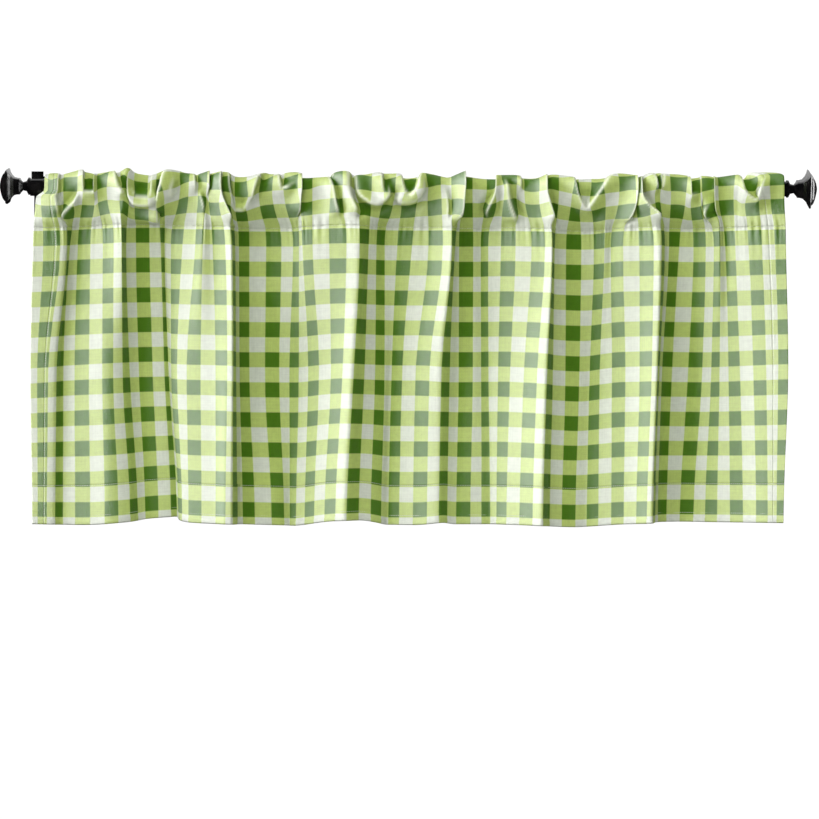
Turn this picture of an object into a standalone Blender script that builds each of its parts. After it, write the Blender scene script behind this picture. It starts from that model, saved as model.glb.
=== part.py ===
# Rod-pocket window valance, gathered on a cafe rod with two brackets and square finials.
# Metres. +Z is up, the front of the cloth faces -Y, the wall is the plane Y = 0, and the
# rod's axis runs along X at Z = 0, ROD_PROJECTION in front of the wall.

import bmesh
import bpy
import math
import numpy as np

MM = 0.001
CHECK = 19.05 * MM              # one check of the cloth, a repeat is two

# rod, brackets and finials
ROD_DIAMETER = 19.05 * MM
ROD_LENGTH = 955.5 * MM
ROD_PROJECTION = 64.0 * MM
ROD_SIDES = 32
FIT_GAP = 0.3 * MM              # between pieces that seat on each other
BRACKET_LEFT = 470.4 * MM       # from the rod's middle to a bracket's middle
BRACKET_RIGHT = 466.4 * MM
BRACKET_WIDTH = 15.0 * MM
CRADLE_WALL = 2.5 * MM
CRADLE_BACK_TOP = 19.5 * MM
CRADLE_LIP_TOP = 6.0 * MM
CRADLE_STEPS = 10
ARM_WIDTH = 8.0 * MM
ARM_TOP = 0.0
ARM_BOTTOM = -8.0 * MM
PLATE_WIDTH = 20.0 * MM
PLATE_HEIGHT = 55.0 * MM
PLATE_THICKNESS = 3.0 * MM
PLATE_DROP = 10.5 * MM          # plate's middle below the rod's axis
FINIAL_SIDES = 24
FINIAL_TURN_LEFT = math.radians(8.5)
FINIAL_TURN_RIGHT = math.radians(17.0)

# cloth
CLOTH_THICKNESS = 1.2 * MM
POCKET_RADIUS = 11.0 * MM       # middle of the cloth where it lies on the rod
SEAM_Z = -51.0 * MM             # pocket seam
SEAM_BAND = 6.0 * MM            # height over which the two layers are sewn as one
TOP_Z = -72.0 * MM              # level of the table's column "top"
MIDDLE_Z = -232.0 * MM          # level of "middle"
LOW_Z = -394.0 * MM             # level of "low"
HEM_Z = -427.0 * MM             # mean lower edge
HEM_DEPTH = 50.0 * MM
LOW_HANDLE = 8.0 * MM           # how soon the pocket's front turns under above the seam
HIGH_HANDLE = 32.0 * MM         # how far the front hangs straight below the rod
BACK_HANDLE = 22.0 * MM         # the same at both ends of the back layer
HEM_EXTRA = 0.5 * MM            # how much thicker the turned-up hem is
ROW_COUNT = 5                   # rows of faces between the hem's top and the seam
STATION_STEP = 0.85             # widest spacing of the cross-sections, in checks
BRACKET_PULL = 19.0 * MM        # back layer pushed aside by the right bracket
BRACKET_PULL_REACH = 5.0        # checks

# Fold lines from the left edge to the right one. checks: width of flat cloth since the line
# before; top, middle, low: hung width of the same strip at those three levels in mm.
FOLD_COLUMNS = ("checks", "top", "middle", "low")
FOLDS = (
    (2.20, 41, 29, 25),
    (1.40, 4, 11, 13),
    (3.00, 42, 50, 53),
    (2.00, 25, 25, 31),
    (1.00, 4, 8, 9),
    (1.00, 12, 11, 9),
    (2.00, 31, 32, 32),
    (1.00, 5, 5, 7),
    (1.00, 8, 4, 3),
    (2.00, 32, 21, 14),
    (1.00, 10, 18, 17),
    (1.00, 12, 19, 18),
    (1.60, 23, 21, 19),
    (2.40, 9, 8, 14),
    (3.00, 54, 50, 52),
    (1.50, 20, 19, 11),
    (1.50, 7, 18, 16),
    (3.80, 70, 56, 51),
    (1.20, 14, 16, 18),
    (2.00, 20, 25, 28),
    (1.00, 16, 9, 9),
    (4.00, 69, 63, 64),
    (2.00, 9, 22, 22),
    (1.00, 18, 18, 18),
    (2.00, 19, 20, 25),
    (1.00, 16, 12, 8),
    (3.90, 64, 60, 57),
    (1.10, 4, 9, 10),
    (2.00, 34, 34, 33),
    (2.00, 29, 26, 29),
    (1.00, 8, 15, 16),
    (3.60, 60, 54, 49),
    (2.40, 14, 10, 11),
    (3.00, 46, 51, 46),
    (1.50, 14, 16, 21),
    (1.50, 10, 16, 23),
    (3.00, 45, 46, 46),
    (1.85, 30, 27, 20),
)
LEFT_EDGE = {"top": -472.6 * MM, "middle": -475.3 * MM, "low": -472.7 * MM}

# How far the cloth stands in front of the rod's axis in mm at the three levels, against
# checks from the left edge: crests, feet and the flanks between them.
DEPTH_COLUMNS = ("at", "top", "middle", "low")
DEPTHS = (
    (0.0, 11, 9, 9),
    (2.2, 12, 12, 12),
    (3.6, -2, 1, 5),
    (5.6, 4, 8, 9),
    (6.8, 8, 12, 12),
    (8.6, 19, 5, 4),
    (9.6, 0, -5, -5),
    (10.6, -3, -12, -10),
    (12.6, -5, -17, -16),
    (13.6, -9, -21, -21),
    (14.6, -6, -13, -14),
    (15.6, 1, -2, -5),
    (16.6, 7, 4, 2),
    (17.5, 16, 8, 7),
    (18.6, 12, 12, 11),
    (19.6, 16, 21, 21),
    (20.2, 21, 23, 21),
    (22.6, -6, -12, -9),
    (23.6, -7, -16, -11),
    (24.6, -8, -18, -13),
    (26.6, -6, -21, -23),
    (27.6, 2, -21, -15),
    (28.6, 11, -14, -10),
    (29.6, 14, -7, -3),
    (30.6, 16, 0, 4),
    (31.6, 18, 12, 12),
    (32.4, 21, 20, 19),
    (33.6, 9, 5, 8),
    (34.6, 2, -3, 2),
    (35.6, -5, -10, -5),
    (36.6, -5, -16, -12),
    (38.6, -4, -5, -5),
    (39.6, 7, 4, 2),
    (40.4, 18, 8, 4),
    (41.6, 5, -3, -5),
    (42.6, -5, -12, -10),
    (43.6, -6, -13, -12),
    (44.6, -9, -17, -14),
    (45.6, -5, -19, -17),
    (46.6, -2, -13, -12),
    (47.6, 5, -6, -3),
    (48.6, 8, 1, 4),
    (49.6, 14, 14, 14),
    (50.4, 21, 21, 21),
    (51.6, 2, 1, 5),
    (53.6, -5, -10, -5),
    (54.6, -5, -14, -10),
    (55.6, 0, -13, -7),
    (56.6, -3, -7, -3),
    (57.6, 8, -2, 1),
    (58.6, 11, 5, 7),
    (59.6, 18, 18, 18),
    (60.2, 21, 21, 21),
    (62.6, -5, -12, -13),
    (63.6, -5, -18, -20),
    (64.6, -5, -18, -23),
    (65.6, 1, -12, -17),
    (66.6, 4, -7, -12),
    (67.4, 11, -4, -7),
    (68.6, 5, 0, -2),
    (69.6, 11, 4, 2),
    (71.6, 18, 16, 14),
    (73.45, 20, 22, 18),
)

# Where the weave's level line rides up or sags, against checks from the left edge.
# middle: at mid-height; hem: along the lower edge, both in mm.
LIFT_COLUMNS = ("at", "middle", "hem")
LIFTS = (
    (0.0, -4, 0),
    (5.0, 1, -1),
    (8.6, 4, 3),
    (13.4, 6, 9),
    (14.8, 3, 5),
    (18.6, 1, 1),
    (22.6, -1, 0),
    (27.1, -1, -2),
    (31.6, 4, 5),
    (33.6, 3, 6),
    (36.6, 2, 0),
    (38.6, 2, 0),
    (41.0, 0, 3),
    (42.6, 0, 1),
    (46.6, 1, 1),
    (50.5, -2, 0),
    (53.6, -5, -2),
    (57.6, 1, 2),
    (61.0, 2, 4),
    (65.6, 1, 5),
    (73.45, 5, 5),
)

# Where the pocket's gathers sit along the rod. at: checks from the left edge; x: place along
# the rod in mm; rise: top of the cloth above the rod's axis in mm.
HEADING_COLUMNS = ("at", "x", "rise")
HEADING = (
    (0.00, -470, 15.0),
    (1.10, -450, 16.5),
    (2.30, -433, 15.0),
    (3.84, -415, 21.5),
    (5.80, -396, 15.0),
    (7.80, -376, 18.0),
    (8.50, -366, 19.0),
    (9.20, -355, 24.0),
    (10.2, -343, 19.0),
    (11.7, -327, 14.0),
    (13.8, -298, 21.5),
    (15.1, -281, 18.0),
    (16.2, -268, 16.0),
    (17.8, -254, 20.0),
    (18.9, -246, 16.5),
    (20.3, -236, 19.5),
    (23.2, -209, 12.5),
    (25.1, -179, 17.5),
    (26.0, -164, 16.5),
    (27.1, -147, 19.5),
    (29.2, -126, 11.6),
    (30.2, -109, 12.5),
    (31.6, -84, 19.0),
    (32.7, -60, 15.0),
    (33.9, -41, 18.5),
    (35.5, -20, 17.5),
    (37.0, 2, 12.0),
    (38.5, 25, 18.0),
    (40.3, 51, 13.5),
    (41.6, 66, 19.0),
    (43.1, 77, 15.0),
    (44.8, 104, 11.6),
    (47.1, 128, 17.0),
    (49.1, 156, 11.6),
    (51.0, 181, 18.0),
    (53.3, 215, 11.6),
    (55.0, 240, 12.0),
    (56.8, 272, 18.5),
    (59.0, 291, 12.0),
    (60.3, 305, 19.5),
    (62.9, 340, 18.5),
    (64.4, 356, 12.5),
    (66.7, 378, 16.5),
    (68.3, 394, 14.5),
    (69.7, 412, 16.5),
    (70.4, 424, 11.6),
    (71.2, 438, 12.0),
    (71.9, 450, 21.4),
    (73.45, 474, 21.4),
)
COLLAR_DRAW = 10.2 * MM         # left edge drawn in beside the bracket, at the rod only
COLLAR_REACH = 2.2              # checks

# Finial sections outward from the rod's end, in mm: half width and how square (2 is round)
FINIAL_COLUMNS = ("along", "half", "square")
FINIAL = (
    (0.3, 9.0, 2.0),
    (0.3, 11.0, 2.0),
    (2.6, 11.0, 2.0),
    (5.0, 6.4, 2.0),
    (9.4, 5.4, 2.0),
    (12.6, 8.6, 5.0),
    (13.6, 10.2, 9.0),
    (16.4, 10.2, 9.0),
    (20.6, 11.2, 9.0),
    (24.2, 14.5, 10.0),
    (26.7, 18.0, 12.0),
    (28.2, 21.8, 14.0),
    (28.9, 21.8, 14.0),
    (30.0, 20.7, 14.0),
    (30.4, 18.4, 12.0),
    (31.8, 18.0, 11.0),
    (33.8, 15.6, 9.0),
    (35.7, 12.0, 7.0),
    (37.4, 7.6, 4.0),
    (38.8, 2.6, 2.0),
)


def column(table, names, name):
    """One named column of a table as an array."""
    return np.array([row[names.index(name)] for row in table], dtype=float)


def monotone(knots, values, at):
    """Smooth curve through the knots that never overshoots them."""
    step = np.diff(knots)
    slope = np.diff(values) / step
    tangent = np.zeros(len(knots))
    tangent[0], tangent[-1] = slope[0], slope[-1]
    same = slope[1:] * slope[:-1] > 0
    left = 2 * step[1:] + step[:-1]
    right = step[1:] + 2 * step[:-1]
    safe_a = np.where(same, slope[:-1], 1.0)
    safe_b = np.where(same, slope[1:], 1.0)
    tangent[1:-1] = np.where(same, (left + right) / (left / safe_a + right / safe_b), 0.0)
    cell = np.clip(np.searchsorted(knots, at, side="right") - 1, 0, len(step) - 1)
    t = (at - knots[cell]) / step[cell]
    return (values[cell] * (1 + 2 * t) * (1 - t) ** 2
            + step[cell] * tangent[cell] * t * (1 - t) ** 2
            + values[cell + 1] * t ** 2 * (3 - 2 * t)
            + step[cell] * tangent[cell + 1] * t ** 2 * (t - 1))


def smooth_step(t):
    """0 to 1 with level ends."""
    t = np.clip(t, 0.0, 1.0)
    return t * t * (3 - 2 * t)


FOLD_AT = np.concatenate(([0.0], np.cumsum(column(FOLDS, FOLD_COLUMNS, "checks"))))
CLOTH_CHECKS = FOLD_AT[-1]


def hung_x(level, at):
    """Where the cloth's line `at` (in checks) hangs along X at a level of the table."""
    widths = column(FOLDS, FOLD_COLUMNS, level) * MM
    edges = LEFT_EDGE[level] + np.concatenate(([0.0], np.cumsum(widths)))
    return monotone(FOLD_AT, edges, at)


def fold_out(level, at):
    """How far the cloth stands in front of the rod's axis at a level of the table."""
    return monotone(column(DEPTHS, DEPTH_COLUMNS, "at"),
                    column(DEPTHS, DEPTH_COLUMNS, level) * MM, at)


def lift(level, at):
    """Rise of the weave's level line."""
    return monotone(column(LIFTS, LIFT_COLUMNS, "at"),
                    column(LIFTS, LIFT_COLUMNS, level) * MM, at)


def heading(name, at):
    """A column of the heading's table along the cloth."""
    return monotone(column(HEADING, HEADING_COLUMNS, "at"),
                    column(HEADING, HEADING_COLUMNS, name) * MM, at)


def panel_point(at, z):
    """Middle of the hanging cloth at the height z: arrays of X, distance out and Z."""
    heights = np.array([0.0, TOP_Z, MIDDLE_Z, LOW_Z, HEM_Z])[::-1]
    low = hung_x("low", at)
    middle = hung_x("middle", at)
    tail = low + (low - middle) * (HEM_Z - LOW_Z) / (LOW_Z - MIDDLE_Z) * 0.5
    across = np.array([heading("x", at), hung_x("top", at), middle, low, tail])[::-1]
    depths = np.array([fold_out(level, at) for level in ("top", "top", "middle", "low", "low")])[::-1]
    x, out = [np.array([monotone(heights, levels[:, i], np.array([z]))[0] for i in range(len(at))])
              for levels in (across, depths)]
    drop = np.clip((SEAM_Z - z) / (SEAM_Z - MIDDLE_Z), 0.0, 1.0)
    hem = smooth_step((MIDDLE_Z - z) / (MIDDLE_Z - HEM_Z))
    rise = lift("middle", at) * (0.6 + 0.4 * drop) * (1 - hem) + lift("hem", at) * hem
    return x, out, z + rise


def bezier(a, b, c, d, t):
    return a * (1 - t) ** 3 + 3 * b * t * (1 - t) ** 2 + 3 * c * t * t * (1 - t) + d * t ** 3


def cloth_rows(at):
    """The cloth's middle as rows of points from the lower edge up over the rod and down
    behind it to the seam, with the index of the row at the seam's top."""
    rows = []
    heights = [HEM_Z, HEM_Z + HEM_DEPTH]
    heights += list(np.linspace(HEM_Z + HEM_DEPTH, SEAM_Z - SEAM_BAND / 2, ROW_COUNT + 1)[1:])
    heights.append(SEAM_Z + SEAM_BAND / 2)
    for z in heights:
        rows.append(panel_point(at, z))
    seam_row = len(rows) - 1
    seam_x, seam_out, seam_z = rows[-1]

    rise = np.maximum(heading("rise", at) - CLOTH_THICKNESS / 2, POCKET_RADIUS)
    extra = rise - POCKET_RADIUS
    collar = COLLAR_DRAW * (1 - smooth_step(at / COLLAR_REACH))
    beside_rod = heading("x", at)
    on_rod = beside_rod + collar
    pull = BRACKET_PULL * smooth_step((at - (CLOTH_CHECKS - BRACKET_PULL_REACH))
                                      / BRACKET_PULL_REACH)
    front = POCKET_RADIUS + 0.45 * extra
    back = POCKET_RADIUS + 0.15 * extra
    for t, drawn in ((0.2, 0.0), (0.45, 0.0), (0.7, 0.2), (0.86, 1.0)):
        out = bezier(seam_out, seam_out, front, front, t)
        z = bezier(seam_z, seam_z + LOW_HANDLE, -HIGH_HANDLE, 0.0, t)
        rows.append((seam_x + (beside_rod - seam_x) * smooth_step(t) + collar * drawn, out, z))
    for angle in (0, 36, 72, 108, 144, 180):
        turn = math.radians(angle)
        side = front if angle < 90 else back
        radius = side + (rise - side) * math.sin(turn)
        aside = float(smooth_step(np.array((angle - 55) / 45)))
        rows.append((on_rod - pull * aside, radius * math.cos(turn), radius * math.sin(turn)))
    behind = seam_out - CLOTH_THICKNESS
    for t in (0.2, 0.45, 0.75):
        out = bezier(-back, -back, behind, behind, t)
        z = bezier(0.0, -BACK_HANDLE, seam_z + BACK_HANDLE, seam_z, t)
        aside = float(1 - smooth_step(np.array((t - 0.2) / 0.7)))
        rows.append((on_rod - pull * aside + (seam_x - on_rod) * smooth_step(t), out, z))
    return rows, seam_row


def stations():
    """Cross-section places in checks: every fold line and even steps between them."""
    places = [0.0]
    for a, b in zip(FOLD_AT[:-1], FOLD_AT[1:]):
        count = max(1, math.ceil((b - a) / STATION_STEP))
        places += [a + (b - a) * (i + 1) / count for i in range(count)]
    return np.array(places)


def normals_of(grid):
    """Unit normals of a grid of points [row, station, xyz], pointing out of the pocket."""
    along = np.gradient(grid, axis=1)
    up = np.gradient(grid, axis=0)
    normal = np.cross(along, up)
    return normal / np.linalg.norm(normal, axis=2, keepdims=True)


def new_object(name, mesh, collection, material, smooth_angle=None):
    """Object with faces outwards in its collection."""
    obj = bpy.data.objects.new(name, mesh)
    collection.objects.link(obj)
    mesh.materials.append(material)
    if smooth_angle is not None:
        mesh.shade_smooth()
        mesh.set_sharp_from_angle(angle=smooth_angle)
    return obj


def mesh_from(bm, name):
    bmesh.ops.recalc_face_normals(bm, faces=bm.faces)
    mesh = bpy.data.meshes.new(name)
    bm.to_mesh(mesh)
    bm.free()
    return mesh


def material(name, colour, roughness, metallic=0.0):
    made = bpy.data.materials.new(name)
    made.use_nodes = True
    shader = made.node_tree.nodes["Principled BSDF"]
    shader.inputs["Base Color"].default_value = (*colour, 1.0)
    shader.inputs["Roughness"].default_value = roughness
    shader.inputs["Metallic"].default_value = metallic
    return made


def build_cloth(collection, cloth):
    """The valance as one solid: panel, pocket round the rod and turned-up hem."""
    at = stations()
    rows, seam_row = cloth_rows(at)
    middle = np.array([[(x[i], -ROD_PROJECTION - out[i], z[i]) for i in range(len(at))]
                       for x, out, z in rows])
    half = CLOTH_THICKNESS / 2
    normal = normals_of(middle)
    outer = middle + normal * half
    inner = middle - normal * half
    band_low, band_top = seam_row - 1, seam_row
    behind_top = middle[band_top] - normal[band_top] * 3 * half
    behind_low = middle[band_low] - normal[band_low] * 3 * half
    tail = inner[:band_low + 1].copy()
    tail[:2] -= normal[:2] * HEM_EXTRA
    hem_step = inner[1] * 0.98 + inner[2] * 0.02

    shell = list(outer) + [behind_top, behind_low, tail[band_low]]
    shell += [tail[r] for r in range(band_low - 1, 1, -1)]
    shell += [hem_step, tail[1], tail[0]]
    pocket = [inner[band_top]] + [inner[r] for r in range(seam_row + 1, len(middle))]

    bm = bmesh.new()

    def lines(chain):
        return [[bm.verts.new(point) for point in row] for row in chain]

    def skin(chain):
        for a, b in zip(chain, chain[1:] + chain[:1]):
            for i in range(len(at) - 1):
                bm.faces.new((a[i], a[i + 1], b[i + 1], b[i]))

    shell_lines = lines(shell)
    pocket_lines = lines(pocket)
    skin(shell_lines)
    skin([row for row in reversed(pocket_lines)])

    for end in (0, -1):
        def rim(*corners):
            bm.faces.new([c[end] for c in corners])
        count = len(shell_lines)
        # the hem and panel: front row r faces tail row r
        rim(shell_lines[0], shell_lines[1], shell_lines[count - 2], shell_lines[count - 1])
        rim(shell_lines[1], shell_lines[count - 3], shell_lines[count - 2])
        rim(shell_lines[1], shell_lines[2], shell_lines[count - 4], shell_lines[count - 3])
        for r in range(2, band_low):
            rim(shell_lines[r], shell_lines[r + 1],
                shell_lines[count - 3 - r], shell_lines[count - 2 - r])
        # the sewn band, then the pocket's two layers
        last = len(outer)
        rim(shell_lines[band_low], shell_lines[band_top], pocket_lines[0],
            shell_lines[last + 2])
        rim(shell_lines[last + 2], pocket_lines[0], shell_lines[last], shell_lines[last + 1])
        for r in range(1, len(pocket_lines)):
            rim(shell_lines[band_top + r - 1], shell_lines[band_top + r],
                pocket_lines[r], pocket_lines[r - 1])
        rim(shell_lines[last - 1], shell_lines[last], pocket_lines[0], pocket_lines[-1])

    mesh = mesh_from(bm, "valance")
    new_object("valance", mesh, collection, cloth, math.radians(50))


def build_rod(collection, black):
    bm = bmesh.new()
    bmesh.ops.create_cone(bm, cap_ends=True, segments=ROD_SIDES, radius1=ROD_DIAMETER / 2,
                          radius2=ROD_DIAMETER / 2, depth=ROD_LENGTH)
    for v in bm.verts:
        v.co = (v.co.z, v.co.y - ROD_PROJECTION, v.co.x)
    new_object("rod", mesh_from(bm, "rod"), collection, black, math.radians(40))


def build_finial(name, side, turn, collection, black):
    """Loft of round and square sections outward from the rod's end."""
    bm = bmesh.new()
    rings = []
    for along, half, square in FINIAL:
        ring = []
        for i in range(FINIAL_SIDES):
            angle = 2 * math.pi * i / FINIAL_SIDES
            c, s = math.cos(angle), math.sin(angle)
            radius = half * MM / (abs(c) ** square + abs(s) ** square) ** (1 / square)
            y, z = radius * c, radius * s
            ring.append(bm.verts.new((
                side * (ROD_LENGTH / 2 + along * MM),
                -ROD_PROJECTION + y * math.cos(turn) - z * math.sin(turn),
                y * math.sin(turn) + z * math.cos(turn))))
        rings.append(ring)
    for a, b in zip(rings, rings[1:]):
        for i in range(FINIAL_SIDES):
            j = (i + 1) % FINIAL_SIDES
            bm.faces.new((a[i], a[j], b[j], b[i]))
    bm.faces.new(rings[0])
    bm.faces.new(rings[-1])
    new_object(name, mesh_from(bm, name), collection, black, math.radians(35))


def build_bracket(name, centre, collection, black):
    """Open cradle under the rod, a plain arm and a flat wall plate, one outline extruded
    in three widths and joined."""
    inner = ROD_DIAMETER / 2 + FIT_GAP
    outer = inner + CRADLE_WALL
    turn = [math.pi * i / CRADLE_STEPS for i in range(CRADLE_STEPS + 1)]
    cradle = [(-outer, CRADLE_BACK_TOP)]
    cradle += [(-outer * math.cos(a), -outer * math.sin(a)) for a in turn]
    cradle += [(outer, CRADLE_LIP_TOP), (inner, CRADLE_LIP_TOP)]
    cradle += [(inner * math.cos(a), -inner * math.sin(a)) for a in turn]
    cradle.append((-inner, CRADLE_BACK_TOP))
    overlap = CRADLE_WALL / 2
    arm = [(-outer + overlap, ARM_TOP), (-outer + overlap, ARM_BOTTOM),
           (-ROD_PROJECTION + PLATE_THICKNESS / 2, ARM_BOTTOM),
           (-ROD_PROJECTION + PLATE_THICKNESS / 2, ARM_TOP)]
    plate = [(-ROD_PROJECTION, PLATE_HEIGHT / 2 - PLATE_DROP),
             (-ROD_PROJECTION, -PLATE_HEIGHT / 2 - PLATE_DROP),
             (-ROD_PROJECTION + PLATE_THICKNESS, -PLATE_HEIGHT / 2 - PLATE_DROP),
             (-ROD_PROJECTION + PLATE_THICKNESS, PLATE_HEIGHT / 2 - PLATE_DROP)]

    def extruded(label, outline, width):
        bm = bmesh.new()
        face = bm.faces.new([bm.verts.new((centre - width / 2, -ROD_PROJECTION - out, z))
                             for out, z in outline])
        grown = bmesh.ops.extrude_face_region(bm, geom=[face])
        moved = [v for v in grown["geom"] if isinstance(v, bmesh.types.BMVert)]
        bmesh.ops.translate(bm, vec=(width, 0, 0), verts=moved)
        return mesh_from(bm, label)

    body = new_object(name, extruded(name, cradle, BRACKET_WIDTH), collection, black)
    for label, outline, width in (("arm", arm, ARM_WIDTH), ("plate", plate, PLATE_WIDTH)):
        joined = bpy.data.objects.new(name + "_" + label,
                                      extruded(name + "_" + label, outline, width))
        cutters.objects.link(joined)
        joined.hide_render = True
        joined.display_type = "WIRE"
        union = body.modifiers.new(label, "BOOLEAN")
        union.operation = "UNION"
        union.solver = "EXACT"
        union.object = joined


for old in list(bpy.data.objects):
    bpy.data.objects.remove(old, do_unlink=True)

valance_collection = bpy.data.collections.new("window_valance")
cutters = bpy.data.collections.new("joining_shapes")
for made in (valance_collection, cutters):
    bpy.context.scene.collection.children.link(made)

cloth_material = material("check_cotton", (0.55, 0.72, 0.33), 0.85)
metal_material = material("black_enamel", (0.02, 0.02, 0.022), 0.3, 0.4)

build_cloth(valance_collection, cloth_material)
build_rod(valance_collection, metal_material)
build_finial("finial_left", -1, FINIAL_TURN_LEFT, valance_collection, metal_material)
build_finial("finial_right", 1, FINIAL_TURN_RIGHT, valance_collection, metal_material)
build_bracket("bracket_left", -BRACKET_LEFT, valance_collection, metal_material)
build_bracket("bracket_right", BRACKET_RIGHT, valance_collection, metal_material)
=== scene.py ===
import bpy
import math
import numpy as np
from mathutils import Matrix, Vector


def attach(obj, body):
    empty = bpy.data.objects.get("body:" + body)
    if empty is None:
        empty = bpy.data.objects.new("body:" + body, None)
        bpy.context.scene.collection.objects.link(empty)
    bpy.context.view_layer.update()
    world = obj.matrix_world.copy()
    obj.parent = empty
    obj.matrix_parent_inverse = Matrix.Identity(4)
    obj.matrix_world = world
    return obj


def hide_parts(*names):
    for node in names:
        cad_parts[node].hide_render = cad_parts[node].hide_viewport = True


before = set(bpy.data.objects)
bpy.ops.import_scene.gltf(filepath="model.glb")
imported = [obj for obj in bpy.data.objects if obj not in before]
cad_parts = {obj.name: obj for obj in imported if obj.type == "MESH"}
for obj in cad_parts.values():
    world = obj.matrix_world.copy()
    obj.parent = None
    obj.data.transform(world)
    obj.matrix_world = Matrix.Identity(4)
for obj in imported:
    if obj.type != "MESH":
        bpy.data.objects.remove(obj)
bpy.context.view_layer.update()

mm = 0.001
rodBox = np.array([list(corner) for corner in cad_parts["rod"].bound_box])
rodY = (rodBox[:, 1].min() + rodBox[:, 1].max()) / 2
rodRadius = (rodBox[:, 2].max() - rodBox[:, 2].min()) / 2

# small helpers


def monotone(knots, values, at):
    # smooth curve through the knots that never runs past them, values may hold many columns
    knots, values, at = np.asarray(knots, float), np.asarray(values, float), np.asarray(at, float)
    flat = values.ndim == 1
    if flat:
        values = values[:, None]
    step = np.diff(knots)[:, None]
    slope = np.diff(values, axis=0) / step
    tangent = np.zeros_like(values)
    tangent[0], tangent[-1] = slope[0], slope[-1]
    same = slope[1:] * slope[:-1] > 0
    left, right = 2 * step[1:] + step[:-1], step[1:] + 2 * step[:-1]
    a, b = np.where(same, slope[:-1], 1.0), np.where(same, slope[1:], 1.0)
    tangent[1:-1] = np.where(same, (left + right) / (left / a + right / b), 0.0)
    cell = np.clip(np.searchsorted(knots, at, side="right") - 1, 0, len(knots) - 2)
    h = step[cell]
    t = (at - knots[cell])[:, None] / h
    out = (values[cell] * (1 + 2 * t) * (1 - t) ** 2 + h * tangent[cell] * t * (1 - t) ** 2
           + values[cell + 1] * t ** 2 * (3 - 2 * t) + h * tangent[cell + 1] * t ** 2 * (t - 1))
    return out[:, 0] if flat else out


def smoothStep(t):
    t = np.clip(t, 0.0, 1.0)
    return t * t * (3 - 2 * t)


# the cloth's folds
# flat cloth is measured in checks of 19.05 mm: "at" from the left edge, "up" from the lower edge

clothValues = {
    "check": 0.01905,
    "across": 73.45,           # finished width, 1.40 m
    "columns": 880,
    "seamUp": 19.72,           # rod pocket's stitching
    "topUp": 24.0,             # fold over the rod
    "backDown": 4.28,          # pocket's back layer
    "hemUp": 2.70,             # turned-up hem, whose back layer parts from the front in this reach
    "hemPart": 0.3,
    "seamZ": -0.051,           # height of the stitching
    "topZ": -0.072,            # heights of the tables' three levels, and of the lower edge
    "middleZ": -0.232,
    "lowZ": -0.394,
    "hemZ": -0.427,
    "straighten": 0.012,       # the folds run straight up to this far above the stitching
    "tailShare": 0.5,          # how much of a fold's slant is kept under the low level
    "topLift": 0.6,            # share of the weave's rise that is there at the stitching
    "thickness": 0.0006,
    "layerGap": 0.0012,
    "foldShare": 0.7,          # of the full depth of the folds
    "foldForward": 1,          # how far all of them then stand further in front (mm)
    # left edge on the rod, near the pocket, half way and low (mm)
    "edge": {"rod": -469.0, "top": -472.6, "middle": -475.3, "low": -472.7},
}

# the pocket: lengths in metres, reaches across the cloth in checks
pocketValues = {
    "round": 0.001475,         # cloth's least distance from the rod where it goes round it
    "clear": 0.000875,         # and in the hollows, which stop softly
    "clearSoft": 0.0004,
    "steps": (30, 30, 20),     # of the profile in front, over the rod and behind
    "pastTop": 46,             # the profile's row just past the top
    "frontShare": 0.45,        # share of a crest's height by which it stands out in front, behind
    "backShare": 0.15,
    "bellyShare": 0.7,
    "lowHandle": 0.008,        # how long the profile keeps its direction at the seam, at the rod
    "highHandle": 0.032,
    "backHandle": 0.022,
    "collarDraw": 0.0102,      # left edge drawn in on the rod, over this reach
    "collarReach": 2.6,
    "bracketPull": 0.019,      # right edge's back layer drawn in beside the bracket
    "bracketPullReach": 5.0,
}

# the pocket's stitching: depths in metres, widths in checks
seamValues = {
    "pull": 0.0008, "pullWidth": 0.16,
    "puff": 0.0008, "puffAt": 0.55, "puffWidth": 0.38,
    "pucker": 0.0005, "puckerAbove": 0.55, "puckerBelow": 0.9,
}

# checks since the line before, and hung width of that strip near the pocket, half way and low (mm)
foldLines = [
    (2.20, 41, 29, 25), (1.40, 4, 11, 13), (3.00, 42, 50, 53), (2.00, 25, 25, 31),
    (1.00, 4, 8, 9), (1.00, 12, 11, 9), (2.00, 31, 32, 32), (1.00, 5, 5, 7),
    (1.00, 8, 4, 3), (2.00, 32, 21, 14), (1.00, 10, 18, 17), (1.00, 12, 19, 18),
    (1.60, 23, 21, 19), (2.40, 9, 8, 14), (3.00, 54, 50, 52), (1.50, 20, 19, 11),
    (1.50, 7, 18, 16), (3.80, 70, 56, 51), (1.20, 14, 16, 18), (2.00, 20, 25, 28),
    (1.00, 16, 9, 9), (4.00, 69, 63, 64), (2.00, 9, 22, 22), (1.00, 18, 18, 18),
    (2.00, 19, 20, 25), (1.00, 16, 12, 8), (3.90, 64, 60, 57), (1.10, 4, 9, 10),
    (2.00, 34, 34, 33), (2.00, 29, 26, 29), (1.00, 8, 15, 16), (3.60, 60, 54, 49),
    (2.40, 14, 10, 11), (3.00, 46, 51, 46), (1.50, 14, 16, 21), (1.50, 10, 16, 23),
    (3.00, 45, 46, 46), (1.85, 30, 27, 20),
]

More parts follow.
